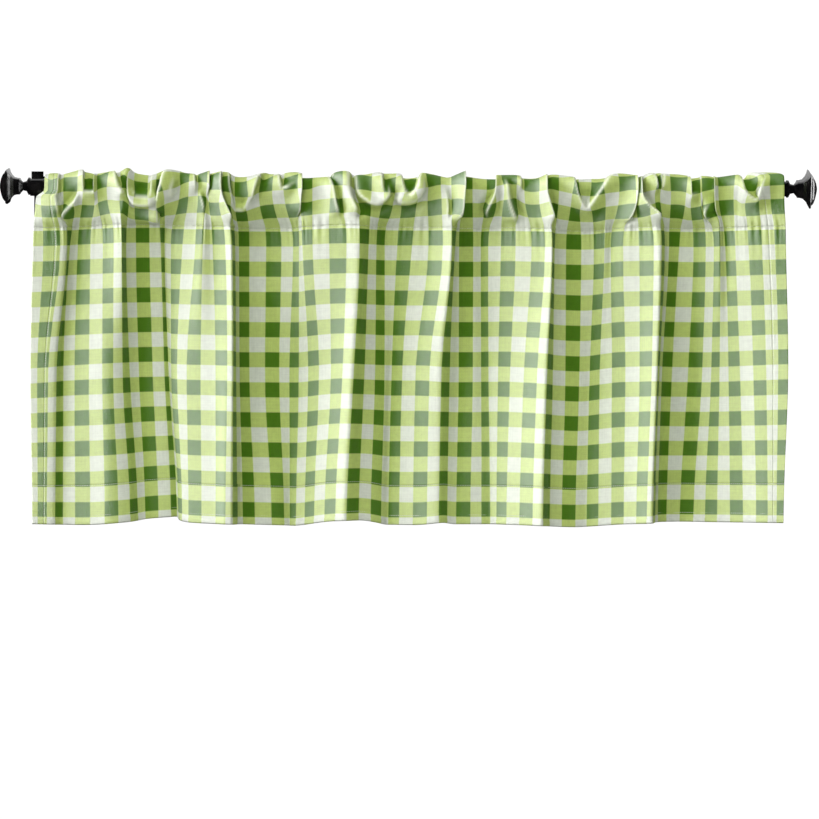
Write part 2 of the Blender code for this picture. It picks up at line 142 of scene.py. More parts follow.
# at, and how far the cloth stands in front of the rod's axis near the pocket, half way and low (mm),
# for folds of full depth, which foldShare and foldForward turn into those that hang
depthLines = [
    (0.0, 23, 20, 20), (2.2, 16, 16, 15), (3.6, -4, 0, 6), (5.6, 4, 10, 12), (6.8, 10, 16, 16),
    (8.6, 26, 6, 4), (9.6, -2, -8, -8), (10.6, -6, -18, -16), (12.6, -9, -26, -24),
    (13.6, -14, -32, -32), (14.6, -10, -20, -22), (15.6, 0, -4, -8), (16.6, 8, 4, 2),
    (17.5, 22, 10, 8), (18.6, 16, 16, 14), (19.6, 22, 28, 28), (20.2, 28, 32, 29),
    (22.6, -10, -18, -14), (23.6, -12, -25, -17), (24.6, -13, -27, -20), (26.6, -10, -32, -34),
    (27.6, 2, -32, -23), (28.6, 14, -22, -16), (29.6, 19, -12, -6), (30.6, 22, -2, 4),
    (31.6, 25, 16, 16), (32.4, 29, 27, 26), (33.6, 12, 6, 10), (34.6, 2, -6, 2),
    (35.6, -8, -16, -8), (36.6, -9, -24, -18), (38.6, -7, -8, -8), (39.6, 8, 4, 2),
    (40.4, 24, 10, 4), (41.6, 6, -6, -8), (42.6, -8, -18, -16), (43.6, -10, -20, -18),
    (44.6, -14, -26, -22), (45.6, -8, -28, -26), (46.6, -4, -20, -18), (47.6, 6, -10, -6),
    (48.6, 10, 0, 4), (49.6, 18, 18, 18), (50.4, 28, 28, 28), (51.6, 2, 0, 6),
    (53.6, -8, -15, -8), (54.6, -9, -22, -16), (55.6, -2, -20, -12), (56.6, -6, -12, -6),
    (57.6, 10, -4, 0), (58.6, 14, 6, 8), (59.6, 24, 24, 24), (60.2, 29, 29, 28),
    (62.6, -8, -18, -20), (63.6, -8, -27, -30), (64.6, -8, -27, -34), (65.6, 0, -18, -26),
    (66.6, 4, -12, -18), (67.4, 14, -7, -11), (68.6, 6, -2, -4), (69.6, 14, 5, 2),
    (71.6, 24, 22, 18), (73.45, 27, 30, 24),
]

# at, rise of the weave's level line half way down and along the hem (mm)
liftLines = [
    (0.0, -4, 0), (5.0, 1, -1), (8.6, 4, 3), (13.4, 6, 9), (14.8, 3, 5), (18.6, 1, 1),
    (22.6, -1, 0), (27.1, -1, -2), (31.6, 4, 5), (33.6, 3, 6), (36.6, 2, 0), (38.6, 2, 0),
    (41.0, 0, 3), (42.6, 0, 1), (46.6, 1, 1), (50.5, -2, 0), (53.6, -5, -2), (57.6, 1, 2),
    (61.0, 2, 4), (65.6, 1, 5), (73.45, 5, 5),
]

# at, top of the cloth above the rod's axis, slack hanging in front (mm)
headingLines = [
    (0.00, 15.0, 4.5), (1.10, 16.5, 9), (2.30, 15.0, 7), (3.84, 21.5, 3), (5.80, 15.0, 8),
    (7.80, 18.0, 3), (8.50, 19.0, 5), (9.20, 24.0, 5), (10.2, 19.0, 10), (11.7, 14.0, 13),
    (13.8, 21.5, 0), (15.1, 18.0, -6), (16.2, 16.0, -6), (17.8, 20.0, -3), (18.9, 16.5, 5),
    (20.3, 19.5, 6), (23.2, 12.5, 8), (25.1, 17.5, 0), (26.0, 16.5, -1), (27.1, 19.5, -1),
    (29.2, 11.6, 4), (30.2, 12.5, 0), (31.6, 19.0, 0), (32.7, 15.0, 5), (33.9, 18.5, 7),
    (35.5, 17.5, 4), (37.0, 12.0, 3), (38.5, 18.0, -3), (40.3, 13.5, -3), (41.6, 19.0, -3),
    (43.1, 15.0, -2), (44.8, 11.6, -2), (47.1, 17.0, -6), (49.1, 11.6, 5), (51.0, 18.0, 0),
    (53.3, 11.6, 3), (55.0, 12.0, 5), (56.8, 18.5, 1), (59.0, 12.0, 8), (60.3, 19.5, 4),
    (62.9, 18.5, 0), (64.4, 12.5, 5), (66.7, 16.5, 4), (68.3, 14.5, -2), (69.7, 16.5, -2),
    (70.4, 11.6, 5), (71.2, 12.0, 5), (71.9, 21.4, 0), (73.45, 21.4, -2),
]

# where each dark column of checks starts and ends along the rod (mm)
darkOnRod = [
    (-463, -447), (-435, -417), (-410, -394), (-392, -380), (-364, -351), (-345, -328),
    (-317, -307), (-288, -277), (-266, -255), (-252, -241), (-235, -225), (-219, -204),
    (-189, -172), (-157, -140), (-136, -121), (-101, -86), (-64, -46), (-33, -17),
    (-7, 11), (24, 41), (54, 66), (68, 81), (99, 114), (118, 136), (146, 164), (173, 190),
    (206, 215), (231, 249), (266, 284), (286, 295), (310, 317), (331, 350), (355, 368),
    (370, 389), (391, 410), (423, 441), (456, 477),
]

# share of the slack by which a row of the weave hangs lower, and by which it bellies out, and how
# far every column has slipped forward over the rod (mm)
slackRows = {"up": [19.72, 20.5, 21.5, 22.5, 23.5, 24.3, 26.0],
             "lower": [0, 0.35, 0.8, 1, 1, 0.9, 0],
             "slip": [0, 0, 0.5, 2.5, 3.5, 3.5, 0],
             "belly": [0, 0.8, 1.0, 0.6, 0.25, 0.1, 0]}

# edges of the gathers, as places (at, up) on the flat cloth with the steep side on the left hand
# of somebody walking along them, and how far each stands out (mm)
gatherEdges = [
    (2.5, [(1.8, 24.0), (1.6, 22.6), (1.7, 21.4), (1.7, 20.6)]),
    (4.0, [(4.2, 24.3), (4.2, 23.3), (4.5, 22.6), (5.3, 22.5), (5.8, 22.8), (6.0, 23.8)]),
    (5.0, [(2.9, 19.9), (2.6, 20.6), (3.2, 21.5), (4.1, 22.3)]),
    (6.0, [(7.7, 24.0), (8.2, 22.8), (8.9, 22.1), (9.3, 22.0)]),
    (5.0, [(12.2, 22.3), (11.4, 21.9), (10.4, 22.0), (9.9, 22.4), (9.8, 23.2), (10.0, 24.0)]),
    (2.5, [(10.2, 23.1), (10.6, 22.6), (11.6, 22.55), (12.1, 22.9), (12.1, 23.8)]),
    (4.0, [(12.3, 22.8), (12.4, 21.6), (12.2, 20.6), (12.3, 19.8)]),
    (6.0, [(12.8, 20.8), (12.9, 22.0), (13.8, 23.6), (14.2, 24.3)]),
    (3.0, [(14.3, 23.2), (13.9, 22.4), (14.2, 21.6)]),
    (3.0, [(15.9, 23.6), (16.1, 22.6), (16.3, 21.6)]),
    (4.0, [(17.8, 24.2), (18.0, 22.8), (18.0, 21.8)]),
    (3.0, [(16.7, 21.8), (17.1, 21.0), (17.6, 20.5)]),
    (7.0, [(19.6, 24.3), (19.5, 22.8), (20.2, 21.5), (20.6, 20.4), (20.7, 19.8)]),
    (3.0, [(21.2, 24.0), (21.4, 22.8), (21.8, 22.0), (22.6, 21.6), (23.5, 21.7), (23.9, 22.3)]),
    (5.0, [(25.0, 24.2), (24.0, 23.0), (23.8, 22.0)]),
    (4.0, [(25.9, 24.2), (26.0, 23.2), (26.4, 22.6), (27.4, 23.0)]),
    (5.0, [(27.9, 24.2), (28.3, 22.6), (27.7, 21.4), (27.4, 20.5)]),
    (5.0, [(30.3, 23.6), (30.8, 22.4), (31.0, 21.0), (31.3, 20.2)]),
    (3.0, [(31.0, 23.3), (31.3, 24.4)]),
    (7.0, [(31.9, 24.4), (31.9, 22.2), (32.2, 20.9), (32.3, 20.2)]),
    (5.0, [(35.1, 23.0), (34.9, 22.0), (34.2, 21.5), (33.3, 21.6), (32.7, 22.2), (32.6, 23.4)]),
    (4.0, [(34.3, 24.0), (34.4, 23.0), (34.8, 22.5)]),
    (5.0, [(35.9, 24.0), (36.4, 22.9), (37.1, 22.2), (37.8, 22.7), (38.3, 23.5), (38.5, 24.2)]),
    (4.0, [(38.5, 23.0), (38.0, 22.1), (37.2, 21.6), (36.4, 21.7), (35.8, 22.3)]),
    (2.5, [(39.9, 22.2), (40.1, 21.4), (40.1, 20.8), (40.0, 20.2)]),
    (8.0, [(41.4, 24.2), (41.6, 22.8), (41.4, 21.6), (41.4, 20.6), (41.0, 20.0)]),
    (6.0, [(44.9, 20.5), (45.0, 21.4), (45.7, 22.4), (46.0, 23.6), (46.2, 24.2)]),
    (3.0, [(47.8, 24.0), (48.0, 22.8), (48.3, 22.3)]),
    (5.0, [(46.9, 22.9), (46.9, 21.8), (47.2, 20.8), (47.7, 19.9)]),
    (7.0, [(50.3, 24.2), (50.1, 22.8), (50.5, 21.6), (50.7, 20.6), (50.7, 19.8)]),
    (5.0, [(52.2, 24.2), (52.8, 23.2), (53.4, 22.4), (54.1, 21.7), (54.6, 21.9), (55.4, 22.9),
           (56.0, 23.5), (56.6, 24.2)]),
    (5.0, [(58.0, 23.6), (57.9, 22.2), (57.6, 21.0), (57.4, 20.0)]),
    (8.0, [(59.0, 24.3), (58.8, 22.8), (59.3, 21.8), (60.2, 20.6), (60.3, 19.8)]),
    (4.0, [(60.3, 23.8), (60.8, 22.8), (61.2, 22.3)]),
    (3.0, [(61.6, 24.2), (61.6, 23.2), (61.9, 22.6), (62.2, 23.2), (62.2, 24.2)]),
    (5.0, [(63.8, 24.2), (64.1, 23.1), (64.6, 22.5), (65.4, 22.5)]),
    (4.0, [(66.9, 20.2), (66.4, 20.7), (67.1, 21.6)]),
    (5.0, [(67.9, 20.3), (67.9, 21.5), (67.9, 23.0), (68.0, 24.0)]),
    (6.0, [(69.5, 24.2), (70.0, 23.1), (70.7, 22.2), (71.4, 21.7), (71.8, 21.8), (72.1, 22.4),
           (72.2, 23.1)]),
]

# widths and rows in checks, heights in metres, the rest as shares
gatherValues = {
    "scale": 1.9, "soft": 0.60, "steep": 0.15,
    "hollowAt": 0.42, "hollowWidth": 0.36, "hollowDepth": 0.80, "deepest": 0.0075,
    "lean": 0.45, "leanWidth": 0.45,
    # width of the highlight painted along each crest, how far behind the edge it sits, and the edge
    # height at which it shows in full
    "crestHighlight": 0.085, "crestHighlightBack": 0.05, "crestHighlightFull": 0.006,
    "taper": 0.8, "bluntEnd": 0.15,
    "openUp": 23.2,            # an edge that ends above this row runs on over the rod
    "fadeIn": 0.7,             # relief starts over the seam, and ends behind the rod
    "fadeUp": 23.4, "fadeOut": 1.8,
    "overRod": 0.85,
}


def foldColumns():
    at = np.linspace(0, clothValues["across"], clothValues["columns"] + 1)
    knots = np.concatenate(([0.0], np.cumsum([f[0] for f in foldLines])))
    cols = {"at": at}
    for index, level in enumerate(("top", "middle", "low")):
        widths = np.cumsum([f[index + 1] for f in foldLines])
        edge = clothValues["edge"][level]
        cols[level] = monotone(knots, (edge + np.concatenate(([0.0], widths))) * mm, at)

    def tableCurve(table, index):
        return monotone([line[0] for line in table], np.array([line[index] for line in table]) * mm, at)

    share, forward = clothValues["foldShare"], clothValues["foldForward"]
    hungLines = [[line[0]] + [round(share * out + forward) for out in line[1:]] for line in depthLines]
    cols["outTop"], cols["outMiddle"], cols["outLow"] = [tableCurve(hungLines, i) for i in (1, 2, 3)]
    cols["liftMiddle"], cols["liftHem"] = [tableCurve(liftLines, i) for i in (1, 2)]
    cols["rise"], cols["slack"] = [tableCurve(headingLines, i) for i in (1, 2)]
    darkEdges = [ginghamValues["warpOffset"] + side for side in range(2 * len(darkOnRod))]
    onRod = [clothValues["edge"]["rod"]] + [x for pair in darkOnRod for x in pair]
    cols["rodX"] = monotone([0.0] + darkEdges, np.array(onRod) * mm, at)
    return cols


def bezier(a, b, c, d, t):
    return a * (1 - t) ** 3 + 3 * b * t * (1 - t) ** 2 + 3 * c * t * t * (1 - t) + d * t ** 3


def hangingPanel(cols, up):
    # places on the hanging cloth below the pocket seam, rows of x, distance out and z
    v = clothValues
    z = v["hemZ"] + up / v["seamUp"] * (v["seamZ"] - v["hemZ"])
    below = v["tailShare"] * (v["hemZ"] - v["lowZ"]) / (v["lowZ"] - v["middleZ"])
    tail = cols["low"] + (cols["low"] - cols["middle"]) * below
    x = monotone([v["hemZ"], v["lowZ"], v["middleZ"], v["topZ"], 0.0],
                 np.array([tail, cols["low"], cols["middle"], cols["top"], cols["rodX"]]), z)
    out = monotone([v["hemZ"], v["lowZ"], v["middleZ"], v["topZ"], v["seamZ"] + v["straighten"]],
                   np.array([cols["outLow"], cols["outLow"], cols["outMiddle"], cols["outTop"],
                             cols["outTop"]]), z)
    z = z[:, None]
    drop = np.clip((v["seamZ"] - z) / (v["seamZ"] - v["middleZ"]), 0.0, 1.0)
    hem = smoothStep((v["middleZ"] - z) / (v["middleZ"] - v["hemZ"]))
    middle = cols["liftMiddle"] * (v["topLift"] + (1 - v["topLift"]) * drop)
    return x, out, z + middle * (1 - hem) + cols["liftHem"] * hem


def pocketProfile(cols):
    # fine profile of the pocket in every column, from the seam over the rod and down behind it
    v, p = clothValues, pocketValues
    seamX, seamOut, seamZ = [row[0] for row in hangingPanel(cols, np.array([v["seamUp"]]))]
    least = rodRadius + p["round"]
    rise = np.maximum(cols["rise"] - v["thickness"], least)
    front = least + p["frontShare"] * (rise - least)
    back = least + p["backShare"] * (rise - least)
    fromRight = v["across"] - cols["at"]
    pull = p["bracketPull"] * smoothStep(1 - fromRight / p["bracketPullReach"])
    collar = p["collarDraw"] * (1 - smoothStep(cols["at"] / p["collarReach"]))
    rodX = cols["rodX"] + collar
    behind = seamOut - v["layerGap"]
    frontSteps, overSteps, backSteps = p["steps"]
    rows = []
    # up the front, with the collar drawn in just under the rod
    for t in np.linspace(0, 1, frontSteps + 1):
        drawn = float(smoothStep((t - 0.84) / 0.09))
        rows.append((seamX + (cols["rodX"] - seamX) * smoothStep(t) + collar * drawn,
                     bezier(seamOut, seamOut, front, front, t),
                     bezier(seamZ, seamZ + p["lowHandle"], -p["highHandle"], 0.0, t)))
    # over the rod, from the front's distance to the back's between 60 and 120 degrees
    for angle in np.linspace(0, 180, overSteps + 1)[1:]:
        turn = math.radians(angle)
        share = float(smoothStep((angle - 60) / 60))
        side = front * (1 - share) + back * share
        radius = side + (rise - side) * math.sin(turn)
        rows.append((rodX - pull * float(smoothStep((angle - 55) / 45)),
                     radius * math.cos(turn), radius * math.sin(turn)))
    # down behind it
    for t in np.linspace(0, 1, backSteps + 1)[1:]:
        aside = float(1 - smoothStep((t - 0.2) / 0.7))
        rows.append((rodX - pull * aside + (seamX - rodX) * smoothStep(t),
                     bezier(-back, -back, behind, behind, t),
                     bezier(0.0, -p["backHandle"], seamZ + p["backHandle"], seamZ, t)))
    return [np.array(part) for part in zip(*rows)]


def rounded(route):
    # the route with its corners cut twice
    line = np.array(route, float)
    for _ in range(2):
        early, late = 0.75 * line[:-1] + 0.25 * line[1:], 0.25 * line[:-1] + 0.75 * line[1:]
        cut = np.stack((early, late), axis=1).reshape(-1, 2)
        line = np.vstack((line[:1], cut, line[-1:]))
    return line


def aroundEdge(places, route):
    # for every place: distance to the edge, the side it is on, how far the edge's steep side looks
    # across the cloth, and the taper towards the edge's ends
    g = gatherValues
    line = rounded(route)
    run = np.concatenate(([0.0], np.cumsum(np.linalg.norm(np.diff(line, axis=0), axis=1))))
    openStart, openEnd = route[0][1] > g["openUp"], route[-1][1] > g["openUp"]
    nearest = np.full(places.shape[:2], 1e9)
    square, side, across, taper = [np.zeros(places.shape[:2]) for _ in range(4)]
    for index, (start, end) in enumerate(zip(line[:-1], line[1:])):
        along = end - start
        size = np.linalg.norm(along)
        t = np.clip(((places - start) @ along) / size ** 2, 0, 1)
        away = places - start - t[:, :, None] * along
        distance = np.linalg.norm(away, axis=2)
        left = (along[0] * away[:, :, 1] - along[1] * away[:, :, 0]) / size
        # at a corner the stretch that the place stands more squarely to decides the side
        closer = (distance < nearest - 1e-6) | ((distance < nearest + 1e-6)
                                                & (np.abs(left) > square))
        nearest = np.where(closer, distance, nearest)
        square = np.where(closer, np.abs(left), square)
        side = np.where(closer, np.sign(left), side)
        across = np.where(closer, -along[1] / size, across)
        gone = run[index] + t * size
        ends = np.minimum(np.inf if openStart else gone, np.inf if openEnd else run[-1] - gone)
        taper = np.where(closer, smoothStep(g["bluntEnd"] + ends / g["taper"]), taper)
    return nearest, side, across, taper


def gatherRelief(at, up):
    # how far the gathers' edges stand out and lean sideways, and where a highlight is painted along
    # their crests
    g = gatherValues
    out, hollow, aside, crestHighlight = [np.zeros((len(up), len(at))) for _ in range(4)]
    places = np.stack(np.meshgrid(at, up), axis=2)
    for height, route in gatherEdges:
        nearest, side, across, taper = aroundEdge(places, route)
        height = height * g["scale"] * mm * taper
        steep = np.exp(-(nearest / g["steep"]) ** 2)
        gentle = np.exp(-(nearest / g["soft"]) ** 2)
        out += height * np.where(side > 0, steep, gentle)
        hollow += np.where(side > 0, height * g["hollowDepth"] * smoothStep(nearest / g["hollowAt"])
                           * np.exp(-((nearest - g["hollowAt"]) / g["hollowWidth"]) ** 2), 0)
        aside += height * g["lean"] * across * np.exp(-(nearest / g["leanWidth"]) ** 2)
        # the painted highlight lies along each crest, just behind its edge
        behind = np.where(side > 0, nearest, -nearest) + g["crestHighlightBack"]
        sharp = min(1.0, height.max() / g["crestHighlightFull"])
        crestHighlight = np.maximum(crestHighlight, sharp * taper * np.exp(-(behind / g["crestHighlight"]) ** 2))
    fade = smoothStep((up - clothValues["seamUp"]) / g["fadeIn"])
    fade = (fade * (1 - smoothStep((up - g["fadeUp"]) / g["fadeOut"])))[:, None]
    out -= g["deepest"] * np.tanh(hollow / g["deepest"])
    return out * fade, aside * fade, crestHighlight * fade ** 0.3


def seamRelief(at, up):
    # the stitched line drawn in, the pocket's bulge over it, and uneven puckers along it
    w = seamValues
    away = (up - clothValues["seamUp"])[:, None]
    pull = -w["pull"] * np.exp(-(away / w["pullWidth"]) ** 2)
    puff = w["puff"] * np.exp(-((away - w["puffAt"]) / w["puffWidth"]) ** 2)
    ripple = np.sin(at * 10.3 + 1.3 * np.sin(at * 0.9)) + np.sin(at * 14.9 + 2 * np.sin(at * 1.7 + 1))
    reach = np.where(away > 0, w["puckerAbove"], w["puckerBelow"])
    return pull + puff + w["pucker"] * ripple * np.exp(-(away / reach) ** 2)


def headingPanel(cols, up):
    # rows of the weave laid along the profile by length, the back layer taking what is left over
    v, p = clothValues, pocketValues
    x, out, z = pocketProfile(cols)
    step = np.hypot(np.diff(out, axis=0), np.diff(z, axis=0))
    length = np.vstack((np.zeros(len(cols["at"])), np.cumsum(step, axis=0)))
    end = v["topUp"] + v["backDown"]
    lower, belly, slip = [monotone(slackRows["up"], slackRows[name],
                                   np.minimum(up, slackRows["up"][-1]))
                          for name in ("lower", "belly", "slip")]
    columns = []
    for i in range(len(cols["at"])):
        own = v["seamUp"] + length[:, i] / v["check"]
        top = own[p["pastTop"]]
        own[p["pastTop"]:] = top + (own[p["pastTop"]:] - top) * (end - top) / (own[-1] - top)
        lowered = up - (cols["slack"][i] * lower + slip * mm) / v["check"]
        columns.append([np.interp(lowered, own, part[:, i]) for part in (x, out, z)])
    x, out, z = np.array(columns).transpose(1, 2, 0)
    turnOut, turnUp = np.gradient(z, axis=0), -np.gradient(out, axis=0)
    size = np.hypot(turnOut, turnUp)
    turnOut, turnUp = turnOut / size, turnUp / size
    relief, aside, crestHighlight = gatherRelief(cols["at"], up)
    relief = relief * (1 - gatherValues["overRod"] * np.clip(turnUp, 0, 1) ** 2)
    relief = relief + np.maximum(cols["slack"], 0) * p["bellyShare"] * belly[:, None]
    relief = relief + seamRelief(cols["at"], up)
    # the hollows stop softly just off the rod
    room = np.hypot(out, z) - rodRadius - p["clear"]
    relief = np.logaddexp(0, (relief + room) / p["clearSoft"]) * p["clearSoft"] - room
    return x + aside, out + relief * turnOut, z + relief * turnUp, crestHighlight


def clothRows():
    # the rows of the cloth's faces, closer at the hem's fold, at the seam and on the pocket's front
    v = clothValues
    pastTop = 24.6
    hemBack = -np.array([v["hemUp"], 0.5, 0.08])
    panel = np.concatenate(([0.0, 0.12], np.linspace(0.7, 18.6, 12), [19.1, 19.4, 19.58, v["seamUp"]]))
    pocket = np.concatenate((np.linspace(v["seamUp"], pastTop, 27)[1:],
                             np.linspace(pastTop, v["topUp"] + v["backDown"], 9)[1:]))
    return hemBack, panel, pocket


def buildCloth():
    v = clothValues
    cols = foldColumns()
    hemBack, panel, pocket = clothRows()
    hemX, hemOut, hemZ = hangingPanel(cols, -hemBack)
    hemOut = hemOut - v["layerGap"] * smoothStep(-hemBack / v["hemPart"])[:, None]
    x, out, z = hangingPanel(cols, panel)
    out = out + seamRelief(cols["at"], panel)
    topX, topOut, topZ, crestHighlight = headingPanel(cols, pocket)
    x, out, z = [np.vstack(parts) for parts in ((hemX, x, topX), (hemOut, out, topOut),
                                                (hemZ, z, topZ))]
    up = np.concatenate((hemBack, panel, pocket))
    rows, columns = x.shape

    bpy.ops.object.select_all(action="DESELECT")
    bpy.ops.mesh.primitive_grid_add(x_subdivisions=columns - 1, y_subdivisions=rows - 1, size=1)
    cloth = bpy.context.object
    cloth.name = "hung_cloth"
    mesh = cloth.data
    order = np.empty(len(mesh.vertices) * 3)
    mesh.vertices.foreach_get("co", order)
    order = order.reshape(-1, 3)
    column = np.rint((order[:, 0] + 0.5) * (columns - 1)).astype(int)
    row = np.rint((order[:, 1] + 0.5) * (rows - 1)).astype(int)
    placed = np.stack((x[row, column], rodY - out[row, column], z[row, column]), axis=1)
    mesh.vertices.foreach_set("co", placed.ravel())

    # highlight painted into the colour along the crests of the gathers
    paintedHighlight = np.vstack((np.zeros((rows - len(pocket), columns)), crestHighlight))
    attribute = mesh.attributes.new("crestHighlight", "FLOAT", "POINT")
    attribute.data.foreach_set("value", paintedHighlight[row, column])

    # flat cloth's own metres as the UV map
    loops = np.empty(len(mesh.loops), dtype=int)
    mesh.loops.foreach_get("vertex_index", loops)
    flat = np.stack((cols["at"][column[loops]], up[row[loops]]), axis=1) * v["check"]
    mesh.uv_layers.active.data.foreach_set("uv", flat.ravel())
    mesh.update()

    thick = cloth.modifiers.new("cloth thickness", "SOLIDIFY")
    thick.thickness = v["thickness"]
    thick.offset = -1
    bpy.ops.object.modifier_apply(modifier=thick.name)
    bpy.ops.object.shade_smooth()
    print("cloth:", len(cloth.data.polygons), "faces")
    return cloth


# materials

ginghamValues = {
    "white": (0.77, 0.82, 0.69),
    "green": (0.078, 0.215, 0.002),
    "mixed": (0.55, 0.685, 0.18),
    "warpOffset": 0.6,         # checks before the first coloured stripe, across and up
    "weftOffset": 0.5,
    "softEdge": 0.035,
    "wobble": 0.0006,          # how far a stripe's edge wanders, and the sizes of the wandering
    "wobbleSizes": (0.004, 0.05),
    "threadPitch": 0.00050,
    "slubSizes": (0.0012, 0.035),
    "cloudSize": 0.006,
    "slubHeight": 1.6,         # against a thread's crown
    "mottle": 0.16,
    "interlace": 0.10,
    # pale colour and share of the highlight painted along the gathers' crests
    "paintedHighlight": (0.90, 0.95, 0.74),
    "paintedHighlightShare": 0.85,
    "roughness": 0.64,
    "specular": 0.5,
    "through": 0.15,
    "sheen": 0.12,
    "sheenRoughness": 0.30,
    "bump": 0.00012,
}

# places in checks, sizes in metres
stitchValues = {
    "thread": (0.80, 0.86, 0.66),
    "length": 0.0030,
    "gap": (0.06, 0.14),       # shares of a stitch over which its thread goes down into the cloth
    "width": 0.00055,
    "cover": 0.55,
    "hemUp": 2.60,
    "sideIn": 1.27,
    "basteUp": 0.62,           # broken line of thread just above the lower fold
    "basteSize": 0.05,
    "dentWidths": 3.5,
    "threadHeight": 3.0,       # against the weave's own height
    "dentDepth": 6.0,
}


def mathNode(tree, operation, *values):
    node = tree.nodes.new("ShaderNodeMath")
    node.operation = operation
    for socket, value in zip(node.inputs, values):
        if isinstance(value, (int, float)):
            socket.default_value = value
        else:
            tree.links.new(value, socket)
    return node.outputs[0]


def rampNode(tree, value, start, end):
    # 0 at start and 1 at end, smooth between
    node = tree.nodes.new("ShaderNodeMapRange")
    node.interpolation_type = "SMOOTHSTEP"
    tree.links.new(value, node.inputs["Value"])
    node.inputs["From Min"].default_value = start
    node.inputs["From Max"].default_value = end
    return node.outputs["Result"]


def noiseNode(tree, place, stretch, detail=2.0):
    # noise over the flat cloth, stretched to so many metres each way
    scaled = tree.nodes.new("ShaderNodeVectorMath")
    scaled.operation = "MULTIPLY"
    tree.links.new(place, scaled.inputs[0])
    scaled.inputs[1].default_value = (1 / stretch[0], 1 / stretch[1], 1.0)
    node = tree.nodes.new("ShaderNodeTexNoise")
    node.noise_dimensions = "2D"
    tree.links.new(scaled.outputs[0], node.inputs["Vector"])
    node.inputs["Scale"].default_value = 1.0
    node.inputs["Detail"].default_value = detail
    return node.outputs[0]


def emptyGroup(name, outputs):
    # a group that takes a place on the flat cloth and gives back values
    tree = bpy.data.node_groups.new(name, "ShaderNodeTree")
    tree.interface.new_socket("Place", in_out="INPUT", socket_type="NodeSocketVector")
    for output in outputs:
        tree.interface.new_socket(output, in_out="OUTPUT", socket_type="NodeSocketFloat")
    start = tree.nodes.new("NodeGroupInput")
    end = tree.nodes.new("NodeGroupOutput")
    split = tree.nodes.new("ShaderNodeSeparateXYZ")
    tree.links.new(start.outputs["Place"], split.inputs[0])
    return tree, start.outputs["Place"], split.outputs["X"], split.outputs["Y"], end


def stripesGroup():
    # 1 inside a coloured stripe of the warp or the weft, 0 between
    tree, place, x, y, end = emptyGroup("gingham_stripes", ("Warp", "Weft"))
    g = ginghamValues
    for axis, offset, stretch, name in ((x, g["warpOffset"], g["wobbleSizes"], "Warp"),
                                        (y, g["weftOffset"], g["wobbleSizes"][::-1], "Weft")):
        waver = mathNode(tree, "MULTIPLY", mathNode(tree, "SUBTRACT",
                         noiseNode(tree, place, stretch), 0.5), g["wobble"])
        checks = mathNode(tree, "DIVIDE", mathNode(tree, "ADD", axis, waver), clothValues["check"])
        wave = mathNode(tree, "PINGPONG", mathNode(tree, "SUBTRACT", checks, offset + 0.5), 1.0)
        tree.links.new(rampNode(tree, wave, 0.5 + g["softEdge"], 0.5 - g["softEdge"]),
                       end.inputs[name])
    return tree


def weaveGroup():
    # which thread lies on top, the height of the threads, and their uneven thickness and dye
    tree, place, x, y, end = emptyGroup("plain_weave", ("Over", "Height", "Mottle"))
    g = ginghamValues
    a = mathNode(tree, "DIVIDE", x, g["threadPitch"])
    b = mathNode(tree, "DIVIDE", y, g["threadPitch"])
    cell = mathNode(tree, "ADD", mathNode(tree, "FLOOR", a), mathNode(tree, "FLOOR", b))
    tree.links.new(mathNode(tree, "PINGPONG", cell, 1.0), end.inputs["Over"])
    crown = mathNode(tree, "MULTIPLY", mathNode(tree, "SINE", mathNode(tree, "MULTIPLY", a, math.pi)),
                     mathNode(tree, "SINE", mathNode(tree, "MULTIPLY", b, math.pi)))
    warp = noiseNode(tree, place, g["slubSizes"])
    weft = noiseNode(tree, place, g["slubSizes"][::-1])
    cloud = noiseNode(tree, place, (g["cloudSize"], g["cloudSize"]), 3.0)
    # three noises of mean 0.5 each, brought round 0
    slub = mathNode(tree, "SUBTRACT", mathNode(tree, "ADD", mathNode(tree, "ADD", warp, weft), cloud),
                    1.5)
    tree.links.new(slub, end.inputs["Mottle"])
    tree.links.new(mathNode(tree, "ADD", mathNode(tree, "ABSOLUTE", crown),
                            mathNode(tree, "MULTIPLY", slub, g["slubHeight"])), end.inputs["Height"])
    return tree


def stitchGroup():
    # sewing thread at the pocket, the hem and both side hems, and the dent it pulls in
    tree, place, x, y, end = emptyGroup("sewn_lines", ("Thread", "Dent"))
    v, s = clothValues, stitchValues

    def sewnLine(across, along, where):
        away = mathNode(tree, "ABSOLUTE", mathNode(tree, "SUBTRACT", across, where * v["check"]))
        dash = mathNode(tree, "PINGPONG", along, s["length"] / 2)
        seen = mathNode(tree, "MULTIPLY", rampNode(tree, away, s["width"], s["width"] * 0.5),
                        rampNode(tree, dash, *[s["length"] * share for share in s["gap"]]))
        return away, seen

    thread, dent = 0.0, 0.0
    for across, along, where in ((y, x, v["seamUp"]), (y, x, s["hemUp"]), (x, y, s["sideIn"]),
                                 (x, y, v["across"] - s["sideIn"])):
        away, seen = sewnLine(across, along, where)
        thread = mathNode(tree, "MAXIMUM", thread, seen)
        pressed = rampNode(tree, away, s["width"] * s["dentWidths"], 0.0)
        dent = mathNode(tree, "MAXIMUM", dent, pressed)
    broken = rampNode(tree, noiseNode(tree, place, (s["basteSize"], s["basteSize"])), 0.50, 0.62)
    basted = mathNode(tree, "MULTIPLY", sewnLine(y, x, s["basteUp"])[1], broken)
    tree.links.new(mathNode(tree, "MAXIMUM", thread, basted), end.inputs["Thread"])
    tree.links.new(dent, end.inputs["Dent"])
    return tree


